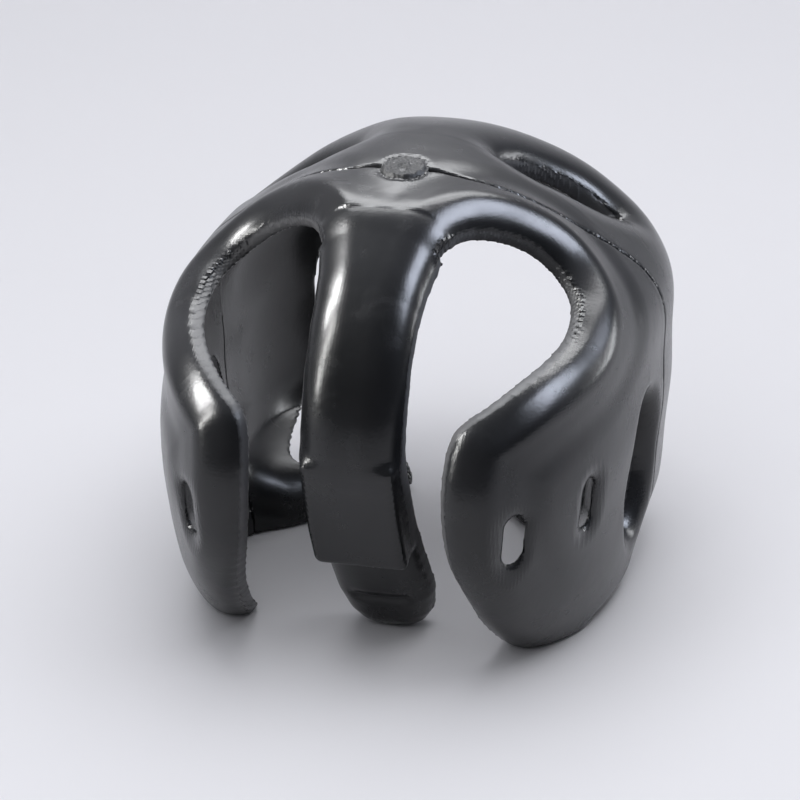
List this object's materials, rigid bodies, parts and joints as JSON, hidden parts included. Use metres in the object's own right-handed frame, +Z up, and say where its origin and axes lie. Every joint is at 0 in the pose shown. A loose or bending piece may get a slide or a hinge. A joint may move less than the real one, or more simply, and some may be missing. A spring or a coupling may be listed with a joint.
{
  "type": "head guard",
  "caption": "Moulded foam head guard with side flaps, a rear strip with a nape pad, ear holes, top vents, strap slots and an open face.",
  "frame": {"origin": "on the floor plane the guard stands on, on its mid plane, under the middle of its length (the centre of the bottom of its bounding box)", "axes": "+Z up through the crown, +Y towards the face, +X towards the wearer's right"},
  "size_m": [0.2138, 0.2644, 0.1978],
  "materials": {
    "skin": "semi-gloss black vinyl skin with fine moulded grain",
    "foam": "matt closed-cell foam"
  },
  "bodies": {
    "shell": {"front_outer_skin": "skin", "front_foam_core": "foam", "front_inner_skin": "skin", "crown_outer_skin": "skin", "crown_foam_core": "foam", "crown_inner_skin": "skin", "gate_plug": "skin"},
    "right_flap": {"right_flap_outer_skin": "skin", "right_flap_foam_core": "foam", "right_flap_inner_skin": "skin"},
    "left_flap": {"left_flap_outer_skin": "skin", "left_flap_foam_core": "foam", "left_flap_inner_skin": "skin"},
    "rear_strip": {"strip_outer_skin": "skin", "strip_foam_core": "foam", "strip_inner_skin": "skin", "nape_pad": "skin"}
  },
  "joints": [
    {"name": "right_flap_spread", "type": "hinge", "parent": "shell", "child": "right_flap", "pos_m": [0.089, 0.0053, 0], "axis": [0, -0.3005, 0.9538], "range_deg": [-5, 14], "stiffness_Nm_per_rad": 1.5},
    {"name": "left_flap_spread", "type": "hinge", "parent": "shell", "child": "left_flap", "pos_m": [-0.089, 0.0053, 0], "axis": [0, 0.3005, -0.9538], "range_deg": [-5, 14], "stiffness_Nm_per_rad": 1.5},
    {"name": "rear_strip_lift", "type": "hinge", "parent": "shell", "child": "rear_strip", "pos_m": [0, -0.0487, 0.177], "axis": [-1, 0, 0], "range_deg": [-8, 14], "stiffness_Nm_per_rad": 1.5}
  ]
}
